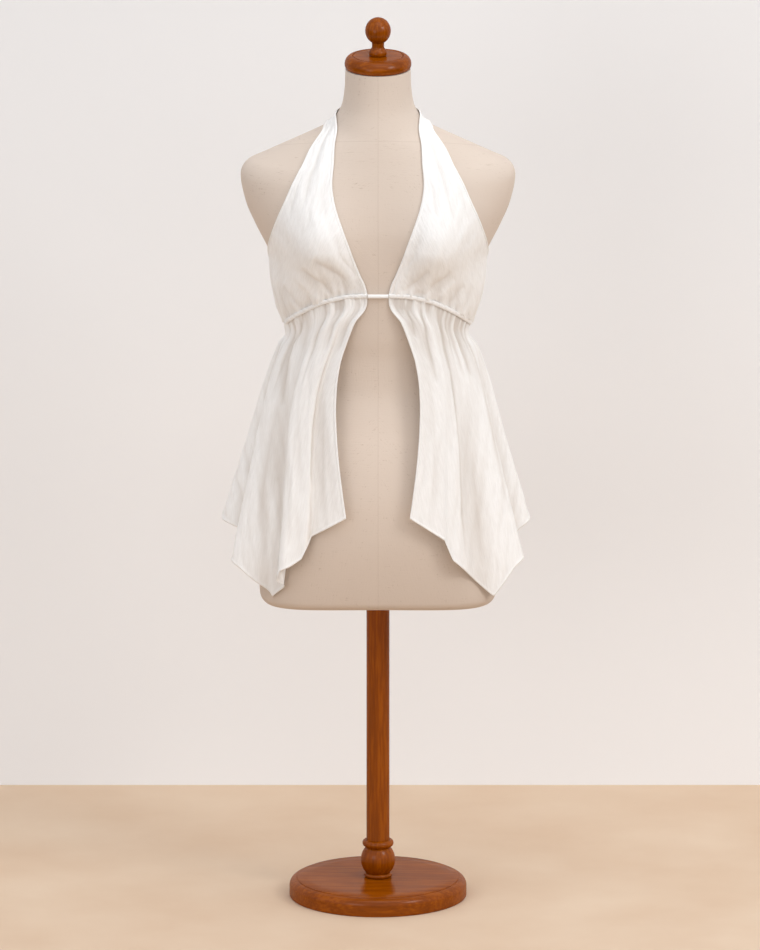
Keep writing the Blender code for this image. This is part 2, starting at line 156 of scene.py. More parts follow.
FORM = curves(FORM_SECTIONS, FORM_COLUMNS)
BAND = curves(BAND_LINE, BAND_COLUMNS)
CUP = curves(CUP_SECTIONS, CUP_COLUMNS)
CUP_ABOVE = curves(CUP_SECTIONS[1:], CUP_COLUMNS)
STRAP = curves(STRAP_EDGES, STRAP_COLUMNS)
PEPLUM = curves(PEPLUM_SECTIONS, PEPLUM_COLUMNS)
EDGE = curves(FREE_EDGE, FREE_EDGE_COLUMNS)
HEM_BACK = curves(BACK_HEM, BACK_HEM_COLUMNS)


def ease(t):
    t = np.clip(t, 0.0, 1.0)
    return t * t * (3 - 2 * t)


def between(a, b, t):
    return a + (b - a) * t


def section(half_width, front, back, squareness, turn):
    """Points on a rounded, slightly square level section."""
    power = 2 / squareness
    across, ahead = np.sin(np.radians(turn)), np.cos(np.radians(turn))
    depth = np.where(ahead > 0, front, back)
    return (half_width * np.sign(across) * np.abs(across) ** power,
            -depth * np.sign(ahead) * np.abs(ahead) ** power)


def form_sizes(height):
    """The form's half width, front and back depth and squareness at a height."""
    return [FORM[name](height) for name in FORM_COLUMNS[1:]]


def form_point(turn, height):
    """Points on the dress form's skin, in millimetres."""
    turn, height = np.broadcast_arrays(np.asarray(turn, float), np.asarray(height, float))
    half_width, front, back, squareness = form_sizes(height)
    x, y = section(half_width, front, back, squareness, turn)
    reach = np.where(height > BUST_HEIGHT, BUST_REACH_UP, BUST_REACH_DOWN)
    mound = np.exp(-((np.abs(x) - BUST_FROM_CENTRE) / BUST_HALF_WIDTH) ** 2)
    mound = mound * np.exp(-((height - BUST_HEIGHT) / reach) ** 2)
    y = y - BUST_OUT * mound * np.sqrt(np.clip(-y / front, 0.0, 1.0))
    return np.stack([x, y, height], axis=-1)


def unit(vectors):
    return vectors / np.maximum(np.linalg.norm(vectors, axis=-1, keepdims=True), 1e-9)


def form_normal(turn, height):
    """The direction straight out of the form's skin."""
    along = form_point(turn + 0.5, height) - form_point(turn - 0.5, height)
    up = form_point(turn, height + 1) - form_point(turn, height - 1)
    return unit(np.cross(along, up))


def off_form(turn, height, distance):
    turn, height = np.broadcast_arrays(np.asarray(turn, float), np.asarray(height, float))
    return form_point(turn, height) + form_normal(turn, height) * np.asarray(distance)[..., None]


def band_height(turn):
    return BAND["height"](np.abs((turn + 180) % 360 - 180))


def turn_at(x, y, height):
    """The turn of a point on the form's level section."""
    half_width, front, back, squareness = form_sizes(height)
    depth = np.where(y < 0, front, back)
    across = np.sign(x) * (np.abs(x) / half_width) ** (squareness / 2)
    ahead = np.sign(-y) * (np.abs(y) / depth) ** (squareness / 2)
    return np.degrees(np.arctan2(across, ahead))


EDGE_STEPS = 240
EVENED_OVER = 15.0       # waves shorter than about twice this are evened out


def evened_edge(name):
    """A cup's edge with the table's small waves evened out, as curves of the rise."""
    rise = np.linspace(0, 1, EDGE_STEPS + 1)
    turn, height = CUP[name + "_turn"](rise), CUP_ABOVE[name + "_height"](rise)
    x, y = section(*form_sizes(height), turn)
    line = np.stack([x, y, height], axis=-1)
    way = np.concatenate([[0], np.cumsum(np.linalg.norm(np.diff(line, axis=0), axis=1))])
    weight = np.exp(-0.5 * ((way[:, None] - way) / EVENED_OVER) ** 2) * np.gradient(way)
    even = weight @ line / weight.sum(axis=1, keepdims=True)
    share = ease((rise - 0.15) / 0.15) * ease((1 - rise) / 0.05)
    line = line + (even - line) * share[:, None]
    turn = between(turn, turn_at(*line.T), share)
    height = line[:, 2]
    return (lambda at: np.interp(at, rise, turn)), (lambda at: np.interp(at, rise, height))


def cup_turn_height(across, rise):
    """Where a cup's point lies on the form, across from its neckline edge and up from the band."""
    first, second = CUP_SECTIONS[0], CUP_SECTIONS[1]
    on_band = BAND_HEIGHT / 2 - TUCK
    lift = np.clip(1 - rise / second[0], 0, 1)
    (inner_turn, inner_height), (outer_turn, outer_height) = CUP_EDGES
    inner = between(inner_height(rise), band_height(first[1]) + on_band, lift)
    outer = between(outer_height(rise), band_height(first[3]) + on_band, lift)
    turn = between(inner_turn(rise), outer_turn(rise), across)
    chord = between(band_height(first[1]), band_height(first[3]), across)
    bow = band_height(between(first[1], first[3], across)) - chord
    return turn, between(inner, outer, across) + bow * (1 - rise) ** 4


CUP_EDGES = evened_edge("inner"), evened_edge("outer")


def cup_point(across, rise, out=0.0):
    """Points on the inside of the left cup, from the neckline edge and from the band."""
    turn, height = cup_turn_height(across, rise)
    puff = CUP["puff"](rise) * np.sin(np.pi * np.clip(across, 0, 1)) ** 0.5
    return off_form(turn, height, EASE + puff + out)


def free_edge_turn(height):
    """The turn of a front panel's free edge."""
    wide = (EDGE["from_centre"](height) / PEPLUM["half_width"](height)) ** (PEPLUM_SQUARENESS / 2)
    return np.degrees(np.arcsin(wide))


def peplum_point(turn, height, drop, out, along=0.0):
    """Points on the peplum: snug at the band, then free of the form by its folds."""
    half_width, front, back = (PEPLUM[name](height) for name in PEPLUM_COLUMNS[1:])
    x, y = section(half_width, front, back, PEPLUM_SQUARENESS, turn)
    outward = unit(np.stack([x / half_width ** 2, y / np.where(y < 0, front, back) ** 2, 0 * x], axis=-1))
    sideways = np.stack([-outward[..., 1], outward[..., 0], 0 * x], axis=-1)
    grown = np.clip((drop - FOLD_START) / (1 - FOLD_START), 0, 1) ** 0.8
    free = np.stack([x, y, height + 0 * x], axis=-1)
    free = free + outward * (out * grown)[..., None] + sideways * (along * grown)[..., None]
    snug = off_form(turn, height, EASE + 0 * drop)
    return between(snug, free, ease(drop / FLARE_BLEND)[..., None])


# ---- Folds, hems and creases that only the visible cloth has ----
# A fold line's share of the panel's width at each drop, how far out it stands, and how far its lip
# leans away from the centre front. A drop is a share of the panel's length.
FOLD_DROPS = (0.0, 0.25, 0.55, 1.0)
FRONT_FOLDS = {
    "right": (
        (0.00, 0.00, 0.00, 0.00, 1.5, 0),
        (0.04, 0.05, 0.08, 0.09, -3, 0),
        (0.08, 0.09, 0.15, 0.17, -9, 1),     # foot of the step beside the flap
        (0.10, 0.12, 0.17, 0.19, 4, -1),
        (0.20, 0.21, 0.24, 0.24, 9, 0),      # bright ridge
        (0.30, 0.32, 0.30, 0.26, 13, 4),
        (0.32, 0.34, 0.32, 0.28, 11, 6),     # its lip
        (0.34, 0.36, 0.33, 0.29, -4, -4),
        (0.40, 0.42, 0.38, 0.34, -13, 0),
        (0.45, 0.46, 0.42, 0.38, -18, 0),    # dark trough
        (0.56, 0.55, 0.51, 0.46, -8, 0),
        (0.67, 0.66, 0.60, 0.54, 1, 0),      # broad flute
        (0.79, 0.75, 0.68, 0.60, 5, 7),
        (0.82, 0.78, 0.71, 0.63, -8, -5),
        (0.89, 0.85, 0.80, 0.72, -24, 0),    # trough before the side
        (0.94, 0.92, 0.89, 0.84, -6, 0),
        (0.97, 0.97, 0.96, 0.93, 9, 0),
        (1.00, 1.00, 1.00, 1.00, 9, 0),
    ),
    "left": (
        (0.00, 0.00, 0.00, 0.00, 1.5, 0),
        (0.08, 0.08, 0.08, 0.08, 1, 0),
        (0.20, 0.15, 0.15, 0.14, 1, 0),
        (0.27, 0.22, 0.23, 0.21, 5, 0),      # soft ridge
        (0.31, 0.26, 0.27, 0.24, 1, 0),
        (0.34, 0.29, 0.29, 0.27, -8, 0),
        (0.39, 0.35, 0.34, 0.32, -14, 0),    # main trough
        (0.48, 0.45, 0.43, 0.42, -7, 0),
        (0.58, 0.55, 0.53, 0.52, 1, 0),      # broad flute
        (0.68, 0.63, 0.60, 0.58, 6, 3),
        (0.73, 0.66, 0.62, 0.60, 5, 6),
        (0.76, 0.70, 0.66, 0.63, -9, -5),
        (0.83, 0.78, 0.73, 0.70, -22, 0),    # trough before the side
        (0.89, 0.87, 0.84, 0.82, -7, 0),
        (0.96, 0.95, 0.94, 0.93, 3, 0),
        (1.00, 1.00, 1.00, 1.00, 2, 0),
    ),
}
# A front panel's hem runs straight from corner to corner: the share of its width, and the height.
FREE_CORNER, HEM_POINT, SIDE_CORNER = 577, 456, 546
FRONT_HEM_LINE = {
    "right": (
        (0.00, FREE_CORNER), (0.17, 546), (0.20, 518), (0.27, 500), (0.29, 475), (0.35, HEM_POINT),
        (0.60, 500), (0.80, 535), (1.00, SIDE_CORNER),
    ),
    "left": (
        (0.00, FREE_CORNER), (0.16, 544), (0.19, 516), (0.40, HEM_POINT),
        (0.55, 496), (0.80, 535), (1.00, SIDE_CORNER),
    ),
}
# The back's fold lines: turn, how far out it stands, and how far its lip leans.
BACK_FOLDS = (
    (95, 2, 0), (102, -8, 0), (109, 7, 0), (113, 9, 2), (116, -2, -2), (121, -10, 0), (129, 6, 0),
    (135, 12, 0), (139, 8, 3), (141, -6, -2), (145, -9, 0), (152, 8, 0), (157, 6, 2), (163, -8, 0),
    (172, 8, 0), (178, 5, 2), (184, -9, 0), (192, 8, 0), (199, 0, 0), (205, -8, 0), (214, 9, 0),
    (219, 12, 0), (222, 2, 3), (224, -8, -2), (229, -10, 0), (238, 9, 0), (243, 6, 2), (249, -8, 0),
    (258, 6, 0), (265, 9, 0),
)

# Creases: a path over the piece by shares of its width and its length, then depth and half width in
# millimetres. A trough is negative and a ridge is positive.
CUP_CREASES = {
    "right": (
        (((0.60, 0.90), (0.55, 0.70), (0.50, 0.50)), -1.7, 4.5),
        (((0.40, 0.85), (0.25, 0.65), (0.30, 0.50)), 1.2, 5.0),
        (((0.80, 0.72), (0.78, 0.62), (0.72, 0.50)), -0.9, 4.0),
        (((0.20, 0.64), (0.15, 0.53), (0.14, 0.42)), -0.8, 3.5),
        (((0.38, 0.56), (0.36, 0.46), (0.35, 0.39)), -0.7, 4.5),
        (((0.05, 0.00), (0.25, 0.25)), -2.0, 4.5),
        (((0.12, 0.00), (0.35, 0.20)), -2.2, 4.5),
        (((0.16, 0.02), (0.30, 0.22)), 1.3, 4.0),
        (((0.22, 0.02), (0.40, 0.18)), 1.5, 4.5),
        (((0.30, 0.00), (0.50, 0.12)), -2.0, 5.0),
        (((0.36, 0.02), (0.50, 0.15)), 1.1, 4.0),
        (((0.44, 0.01), (0.53, 0.08), (0.58, 0.13)), -1.5, 4.5),
        (((0.56, 0.01), (0.62, 0.07), (0.66, 0.11)), -1.3, 5.0),
        (((0.70, 0.01), (0.75, 0.08)), -1.3, 5.0),
        (((0.82, 0.02), (0.84, 0.10)), -1.1, 5.5),
        (((0.06, 0.35), (0.02, 0.10)), -0.9, 3.0),
    ),
    "left": (
        (((0.50, 0.85), (0.40, 0.65), (0.45, 0.45)), -1.6, 4.5),
        (((0.66, 0.80), (0.64, 0.66), (0.62, 0.56)), 0.9, 5.0),
        (((0.15, 0.60), (0.20, 0.45)), -0.9, 4.0),
        (((0.78, 0.66), (0.76, 0.55), (0.72, 0.46)), -0.8, 4.0),
        (((0.05, 0.02), (0.11, 0.09), (0.17, 0.17)), -1.6, 4.5),
        (((0.13, 0.01), (0.19, 0.08), (0.27, 0.15), (0.31, 0.19)), -1.8, 4.5),
        (((0.20, 0.01), (0.27, 0.09), (0.33, 0.14)), 1.2, 4.0),
        (((0.27, 0.01), (0.34, 0.07), (0.41, 0.12)), -1.5, 5.0),
        (((0.37, 0.01), (0.44, 0.08), (0.49, 0.12)), -1.1, 4.5),
        (((0.49, 0.01), (0.55, 0.08)), -1.2, 5.0),
        (((0.61, 0.01), (0.66, 0.09)), -1.2, 5.0),
        (((0.74, 0.01), (0.77, 0.08)), -1.1, 5.0),
        (((0.86, 0.02), (0.87, 0.09)), -1.0, 5.0),
        (((0.07, 0.36), (0.05, 0.26), (0.03, 0.15)), -0.8, 3.0),
    ),
}
FRONT_CREASES = {
    "right": (
        (((0.10, 0.10), (0.14, 0.40), (0.17, 0.95)), -2.2, 2.4),
        (((0.34, 0.10), (0.36, 0.30), (0.30, 0.90)), -2.0, 3.0),
        (((0.82, 0.10), (0.72, 0.50), (0.64, 0.90)), -1.8, 3.0),
        (((0.04, 0.02), (0.045, 0.14), (0.05, 0.24)), -1.4, 4.0),
        (((0.15, 0.01), (0.15, 0.10), (0.16, 0.22)), -1.6, 3.5),
        (((0.25, 0.01), (0.27, 0.12), (0.28, 0.30)), -1.5, 4.0),
        (((0.46, 0.00), (0.58, 0.12), (0.50, 0.35)), -2.0, 5.0),
        (((0.60, 0.01), (0.63, 0.15), (0.62, 0.34)), -1.5, 4.5),
        (((0.55, 0.35), (0.53, 0.60), (0.50, 0.85)), -1.0, 7.0),
        (((0.28, 0.45), (0.27, 0.70), (0.25, 0.92)), -0.8, 5.0),
        (((0.09, 0.45), (0.10, 0.70), (0.11, 0.92)), -0.9, 6.0),
        (((0.65, 0.55), (0.61, 0.75), (0.58, 0.90)), 0.8, 6.0),
        (((0.44, 0.62), (0.42, 0.80), (0.40, 0.95)), 0.9, 6.0),
    ),
    "left": (
        (((0.33, 0.15), (0.28, 0.50), (0.27, 0.90)), -2.0, 2.4),
        (((0.75, 0.10), (0.66, 0.50), (0.63, 0.90)), -2.0, 2.8),
        (((0.12, 0.00), (0.06, 0.18)), -2.2, 3.5),
        (((0.08, 0.01), (0.05, 0.08)), -1.4, 3.0),
        (((0.22, 0.00), (0.16, 0.18), (0.14, 0.36)), -2.2, 4.0),
        (((0.36, 0.00), (0.30, 0.24)), -2.0, 4.0),
        (((0.52, 0.00), (0.52, 0.24)), -2.0, 4.5),
        (((0.68, 0.02), (0.62, 0.35), (0.58, 0.80)), -1.4, 4.5),
        (((0.42, 0.02), (0.43, 0.12), (0.43, 0.24)), -1.3, 4.0),
        (((0.40, 0.50), (0.38, 0.72), (0.36, 0.92)), -0.9, 7.0),
        (((0.10, 0.42), (0.10, 0.66), (0.10, 0.90)), -0.7, 7.0),
        (((0.50, 0.60), (0.48, 0.80), (0.46, 0.95)), 0.9, 6.0),
        (((0.18, 0.55), (0.18, 0.75), (0.17, 0.90)), 0.7, 6.0),
    ),
}

# Sewing: beads of rolled cloth along the raw edges, and the pleats of a gathered edge
NECK_ROLL, NECK_ROLL_RISE = 3.6, 0.9
HEM_ROLL, HEM_ROLL_RISE = 3.2, 0.7
CLOTH_WALL = 0.7
CUP_STANDS_OFF = 0.4     # from the solid cup's inner face to the middle of the cloth
CREASE_GAIN = 1.5        # on every listed crease's depth
FOLD_SHADE = 0.10        # how much a broad trough adds to the painted shade, beside a narrow crease
CASING_LIFT = 1.3        # the casing's edges lie over the gathers
TUCK = 1.4               # how far the gathered edges run under the casing
NEAR_FORM = 0.9          # cloth never comes closer to the form than this


def crowd(count, ends):
    """Shares from 0 to 1 that lie closer together near both ends, where the sewn edges are."""
    t = np.linspace(0, 1, count + 1)
    return t - ends * np.sin(2 * math.pi * t) / (2 * math.pi)


def fold_offsets(side, share, drop):
    """How far a front panel stands out and leans, row by row down the panel."""
    rows = np.array(FRONT_FOLDS[side], float)
    out, lean = np.zeros_like(share), np.zeros_like(share)
    for i in range(share.shape[1]):
        level = drop[0, i]
        keys = [np.interp(level, FOLD_DROPS, row[:4]) for row in rows]
        out[:, i] = monotone(keys, rows[:, 4])(share[:, i])
        lean[:, i] = monotone(keys, rows[:, 5])(share[:, i])
    return out, lean


def front_panel(share, drop, side):
    top_turn = between(CUP_SECTIONS[0][1], SIDE_SEAM_TURN, share)
    top = band_height(top_turn) - BAND_HEIGHT / 2 + TUCK
    hem = np.interp(share, *zip(*FRONT_HEM_LINE[side]))
    height = between(top, hem, drop)
    turn = between(free_edge_turn(height), SIDE_SEAM_TURN, share)
    turn = between(top_turn, turn, ease(drop / FLARE_BLEND))
    out, lean = fold_offsets(side, share, drop)
    return peplum_point(turn, height, drop, out, lean)


def back_panel(along, drop):
    seam = math.degrees(2 * SEAM_GAP / PEPLUM_SECTIONS[0][1])
    turn = between(SIDE_SEAM_TURN + seam, 360 - SIDE_SEAM_TURN - seam, along)
    top = band_height(turn) - BAND_HEIGHT / 2 + TUCK
    height = between(top, HEM_BACK["height"](turn), drop)
    turns, outs, leans = zip(*BACK_FOLDS)
    return peplum_point(turn, height, drop, monotone(turns, outs)(turn), monotone(turns, leans)(turn))


def sheet_lengths(points):
    """Distances in millimetres over the cloth: across each row and down each column, from the first."""
    across = np.linalg.norm(np.diff(points, axis=0), axis=-1)
    across = np.concatenate([np.zeros((1, points.shape[1])), np.cumsum(across, axis=0)])
    down = np.linalg.norm(np.diff(points, axis=1), axis=-1)
    down = np.concatenate([np.zeros((points.shape[0], 1)), np.cumsum(down, axis=1)], axis=1)
    return across, down


def grid_normals(points):
    across = np.gradient(points, axis=0)
    down = np.gradient(points, axis=1)
    normals = unit(np.cross(across, down))
    outward = (normals[..., :2] * points[..., :2]).sum() > 0
    return normals if outward else -normals


def crease_depth(across, down, shares, lines):
    """The sum of soft troughs and ridges, each tapered at both ends of its path."""
    u, v = shares
    depth = np.zeros_like(across)
    for path, amount, half_width in lines:
        amount = amount * CREASE_GAIN
        spots = []
        for share_u, share_v in path:
            i = min(int(np.searchsorted(u[:, 0], share_u)), u.shape[0] - 1)
            j = min(int(np.searchsorted(v[0], share_v)), v.shape[1] - 1)
            spots.append((across[i, j] - across[-1, j] / 2, down[i, j]))
        spots = np.array(spots)
        lengths = np.concatenate([[0], np.cumsum(np.linalg.norm(np.diff(spots, axis=0), axis=1))])
        nearest = np.full(across.shape, np.inf)
        place = np.zeros_like(across)
        here = np.stack([across - across[-1] / 2, down], axis=-1)
        for k in range(len(spots) - 1):
            leg = spots[k + 1] - spots[k]
            t = np.clip(((here - spots[k]) @ leg) / (leg @ leg), 0, 1)
            gap = np.linalg.norm(here - spots[k] - t[..., None] * leg, axis=-1)
            closer = gap < nearest
            nearest = np.where(closer, gap, nearest)
            place = np.where(closer, (lengths[k] + t * (lengths[k + 1] - lengths[k])) / lengths[-1], place)
        taper = np.clip(np.sin(math.pi * np.clip(0.12 + 0.88 * place, 0, 1)), 0, 1) ** 0.6
        if path[0][1] > 0.03:
            taper = np.sin(math.pi * np.clip(place, 0, 1)) ** 0.6
        sharpness = 1.25 if amount < 0 else 2.0
        depth += amount * taper * np.exp(-(nearest / half_width) ** sharpness)
    return depth


def gather_depth(across, from_edge, seed, pitch, deep, reach):
    """Uneven pleats that start at a gathered edge and fade out at different lengths."""
    draw = random.Random(seed)
    width = across[-1]
    depth = np.zeros_like(across)
    place = draw.uniform(0.3, 1.0) * pitch
    total = float(width.max())
    gathered = float(width[0]) if width[0] > 0 else total
    while place < gathered - pitch * 0.3:
        share = place / gathered
        amount = deep * draw.uniform(0.35, 1.0) * draw.choice((-1, -1, 1))
        half_width = pitch * draw.uniform(0.16, 0.34)
        fade = reach * draw.uniform(0.35, 1.35)
        lean = draw.uniform(-0.06, 0.06)
        line = share * width + lean * from_edge
        spread = half_width * (1 + from_edge / fade * 0.8)
        sharpness = 1.25 if amount < 0 else 2.0
        depth += (amount * np.exp(-np.abs((across - line) / spread) ** sharpness)
                  * np.exp(-(from_edge / fade) ** 1.6))
        place += pitch * draw.uniform(0.55, 1.4)
    return depth


def roll(distance, width, rise):
    """A rounded bead of turned cloth along an edge."""
    t = np.clip(distance / width, 0, 1)
    return rise * np.sqrt(np.clip(1 - (2 * t - 1) ** 2, 0, 1)) * (distance < width)


def soft_noise(across, down, seed, sizes):
    """Very shallow unevenness of hand-pressed cloth: a few slow waves in random directions."""
    draw = random.Random(seed)
    depth = np.zeros_like(across)
    for length, amount in sizes:
        for _ in range(4):
            angle = draw.uniform(-0.5, 0.5)
            phase = draw.uniform(0, 2 * math.pi)
            stretch = length * draw.uniform(0.7, 1.4)
            along = across * math.cos(angle) + down * 0.35 * math.sin(angle)
            depth += amount / 2 * np.sin(2 * math.pi * along / stretch + phase)
    return depth


def clear_of_form(points, least):
    """Push out any point that lies too near the form's level section at its height."""
    x, y, z = points[..., 0], points[..., 1], points[..., 2]
    half_width, front, back, squareness = form_sizes(z)
    depth = np.where(y < 0, front, back)
    across, ahead = np.abs(x) / (half_width + least), np.abs(y) / (depth + least)
    size = (across ** squareness + ahead ** squareness) ** (1 / squareness)
    push = np.where((size < 1) & (size > 0.3) & (z > FORM_SECTIONS[0][0]), 1 / np.maximum(size, 0.3), 1.0)
    return np.stack([x * push, y * push, z], axis=-1)


# ---- Meshes ----
def link(name, mesh, material):
    mesh.materials.append(material)
    mesh.shade_smooth()
    thing = bpy.data.objects.new(name, mesh)
    bpy.context.collection.objects.link(thing)
    return thing


def laid_grid(points, across, down, mirrored=False):
    """A grid on the points, its UV map the flat cloth in metres, and each vertex's column and row."""
    columns, rows = points.shape[0] - 1, points.shape[1] - 1
    sheet = bmesh.new()
    weave = sheet.loops.layers.uv.new("cut")
    bmesh.ops.create_grid(sheet, x_segments=columns, y_segments=rows, size=0.5)
    spots = {}
    for vertex in sheet.verts:
        i, j = round((vertex.co.x + 0.5) * columns), round((vertex.co.y + 0.5) * rows)
        spots[vertex.index] = (i, j)
        x, y, z = points[i, j] * MM
        vertex.co = (-x if mirrored else x, y, z)
    middle = across[-1] / 2
    for face in sheet.faces:
        for loop in face.loops:
            i, j = spots[loop.vert.index]
            loop[weave].uv = ((across[i, j] - middle[j]) * MM, down[j] * MM)
    return sheet, spots


FULL_SHADE_DEPTH = 2.5        # a trough this deep gets the full painted shade


def cloth_sheet(name, points, lengths, painted_shade_depth, material, mirrored=False):
    """Cloth laid on the points, with the painted shade of its troughs stored for the material."""
    across, down = lengths
    sheet, spots = laid_grid(points, across, down[(points.shape[0] - 1) // 2], mirrored)
    painted_shade = sheet.verts.layers.float.new("painted_shade_depth")
    for vertex in sheet.verts:
        vertex[painted_shade] = float(np.clip(-painted_shade_depth[spots[vertex.index]] / FULL_SHADE_DEPTH, 0, 1))
    sheet.normal_update()
    if sum(face.normal.xy.dot(face.calc_center_median().xy) for face in sheet.faces) < 0:
        bmesh.ops.reverse_faces(sheet, faces=sheet.faces)
    mesh = bpy.data.meshes.new(name)
    sheet.to_mesh(mesh)
    sheet.free()
    piece = link(name, mesh, material)
    thickness = piece.modifiers.new("cloth_thickness", "SOLIDIFY")
    thickness.thickness = CLOTH_WALL * MM
    thickness.offset = 0.0
    return piece


def make_cup(side, material):
    columns, rows = 170, 150
    u, v = np.meshgrid(crowd(columns, 0.72), crowd(rows, 0.35), indexing="ij")
    base = cup_point(u, v, CUP_STANDS_OFF)
    across, down = sheet_lengths(base)
    from_inner, from_outer = across, across[-1] - across
    edge = np.minimum(from_inner, from_outer)
    out = crease_depth(across, down, (u, v), CUP_CREASES[side])
    calm = ease(edge / 9) * 0.85 + 0.15
    seed = 11 if side == "left" else 23
    out += gather_depth(across, down, seed, pitch=9.0, deep=3.0, reach=20)
    out += gather_depth(across, down, seed + 1, pitch=15.0, deep=2.4, reach=44)
    out += soft_noise(across, down, seed + 2, ((34, 0.30), (17, 0.16), (9, 0.07)))
    out = out * calm
    # painted shade: the troughs of the creases and gathers darken the cloth's colour
    painted_shade_depth = out * 0.5
    out = out + roll(edge, NECK_ROLL, NECK_ROLL_RISE)
    puff = CUP["puff"](v) * np.sin(np.pi * np.clip(u, 0, 1)) ** 0.5
    out = np.maximum(out, NEAR_FORM - EASE - puff)
    points = cup_point(u, v, CUP_STANDS_OFF + out)
    return cloth_sheet("halter_cup_" + side, points, (across, down), painted_shade_depth, material, side == "right")


def make_front_panel(side, material):
    columns, rows = 210, 150
    u, v = np.meshgrid(crowd(columns, 0.55), crowd(rows, 0.45), indexing="ij")
    base = front_panel(u, v, side)
    across, down = sheet_lengths(base)
    from_hem = down[:, -1:] - down
    edge = np.minimum(across, from_hem)
    seed = 31 if side == "left" else 47
    out = crease_depth(across, down, (u, v), FRONT_CREASES[side])
    out += gather_depth(across, down, seed, pitch=6.5, deep=2.5, reach=24)
    out += gather_depth(across, down, seed + 1, pitch=9.5, deep=2.5, reach=70)
    out += soft_noise(across, down, seed + 2, ((40, 0.35), (19, 0.18), (10, 0.08)))
    out = out * (ease(edge / 8) * 0.9 + 0.1)
    # painted shade: creases, gathers and the broad fold troughs darken the cloth's colour
    painted_shade_depth = out + FOLD_SHADE * np.minimum(fold_offsets(side, u, v)[0], 0) * ease(v / 0.6)
    out = (out + roll(across, NECK_ROLL, NECK_ROLL_RISE) * (from_hem > 1)
           + roll(from_hem, HEM_ROLL, HEM_ROLL_RISE))
    points = base + grid_normals(base) * out[..., None]
    points = clear_of_form(points, NEAR_FORM)
    return cloth_sheet("peplum_panel_" + side, points, (across, down), painted_shade_depth, material, side == "right")


def make_back_panel(material):
    columns, rows = 300, 110
    u, v = np.meshgrid(crowd(columns, 0.2), crowd(rows, 0.45), indexing="ij")
    base = back_panel(u, v)
    across, down = sheet_lengths(base)
    from_hem = down[:, -1:] - down
    out = gather_depth(across, down, 61, pitch=5.5, deep=1.9, reach=24)
    out += gather_depth(across, down, 62, pitch=9.5, deep=2.4, reach=70)
    out += gather_depth(across, down, 63, pitch=26.0, deep=2.2, reach=170)
    out += soft_noise(across, down, 64, ((42, 0.35), (20, 0.18), (10, 0.08)))
    out = out * (ease(from_hem / 8) * 0.9 + 0.1)
    turns, outs, _ = zip(*BACK_FOLDS)
    fold = monotone(turns, outs)(between(SIDE_SEAM_TURN, 360 - SIDE_SEAM_TURN, u))
    # painted shade: gathers and the broad fold troughs darken the cloth's colour
    painted_shade_depth = out + FOLD_SHADE * np.minimum(fold, 0) * ease(v / 0.6)
    out = out + roll(from_hem, HEM_ROLL, HEM_ROLL_RISE)
    points = base + grid_normals(base) * out[..., None]
    points = clear_of_form(points, NEAR_FORM)
    return cloth_sheet("peplum_panel_back", points, (across, down), painted_shade_depth, material)


def make_neck_strap(material):
    columns, rows = 150, 18
    u, v = np.meshgrid(np.linspace(0, 1, columns + 1), crowd(rows, 0.5), indexing="ij")
    turn = between(STRAP_JOIN_TURN, 360 - STRAP_JOIN_TURN, u)
    half_turn = np.minimum(turn, 360 - turn)
    height = between(STRAP["upper"](half_turn), STRAP["lower"](half_turn), v)
    base = off_form(turn, height, EASE + 0 * u)
    across, down = sheet_lengths(base)
    edge = np.minimum(down, down[:, -1:] - down)
    # slow ripples along the strap, calm near its edges
    out = 0.35 * np.sin(2 * math.pi * down / 8.5 + across / 40) * ease(edge / 5)
    out += roll(edge, NECK_ROLL, NECK_ROLL_RISE)
    points = off_form(turn, height, EASE + 0.3 + out)
    return cloth_sheet("neck_strap_behind", points, (across, down), 0 * out, material)


def make_band(material):
    """The narrow casing between the gathers: a rounded tape that ripples with them."""
    columns, rows = 420, 8
    u, v = np.meshgrid(np.linspace(0, 1, columns + 1), np.linspace(0, 1, rows + 1), indexing="ij")
    start = CUP_SECTIONS[0][1]
    turn = between(start, 360 - start, u)
    height = band_height(turn) + BAND_HEIGHT * (0.5 - v)
    base = off_form(turn, height, EASE + 0 * u)
    across, down = sheet_lengths(base)
    draw = random.Random(7)
    ripple = np.zeros_like(across)
    for length in (5.5, 7.3, 4.1, 11.0):
        ripple += 0.22 * np.sin(2 * math.pi * across / length + draw.uniform(0, 2 * math.pi))
    out = CASING_LIFT + 1.1 * np.sqrt(np.clip(1 - (2 * v - 1) ** 2, 0, 1)) + ripple * np.sin(math.pi * v)
    height = height + ripple * 0.8
    points = off_form(turn, height, EASE + out)
    # painted shade: the troughs of the casing's ripples darken its colour
    return cloth_sheet("gathered_casing", points, (across, down), ripple, material)


def make_bridge(material):
    """The short round cord that joins the cups over the open centre front."""
    turn = CUP_SECTIONS[0][1]
    height = float(band_height(turn))
    reach = float(off_form(turn, height, EASE)[0]) - SEAM_GAP
    centre = off_form(0.0, height, EASE + BRIDGE_RADIUS)
    cord = bmesh.new()
    sides = 24
    bmesh.ops.create_circle(cord, segments=sides, radius=BRIDGE_RADIUS * MM)
    bmesh.ops.rotate(cord, verts=cord.verts, matrix=Matrix.Rotation(math.pi / 2, 3, "Y"))
    bmesh.ops.translate(cord, verts=cord.verts, vec=Vector((-reach, centre[1], centre[2])) * MM)
    ring = list(cord.edges)
    steps = 14
    first = list(ring)
    for _ in range(steps):
        made = bmesh.ops.extrude_edge_only(cord, edges=ring)["geom"]
        moved = [item for item in made if isinstance(item, bmesh.types.BMVert)]
        bmesh.ops.translate(cord, verts=moved, vec=(2 * reach * MM / steps, 0, 0))
        ring = [item for item in made if isinstance(item, bmesh.types.BMEdge)
                and item.verts[0] in moved and item.verts[1] in moved]
    bmesh.ops.holes_fill(cord, edges=first + ring, sides=sides)
    bmesh.ops.recalc_face_normals(cord, faces=cord.faces)
    mesh = bpy.data.meshes.new("bridge_rouleau")
    cord.to_mesh(mesh)
    cord.free()
    return link("bridge_rouleau", mesh, material)


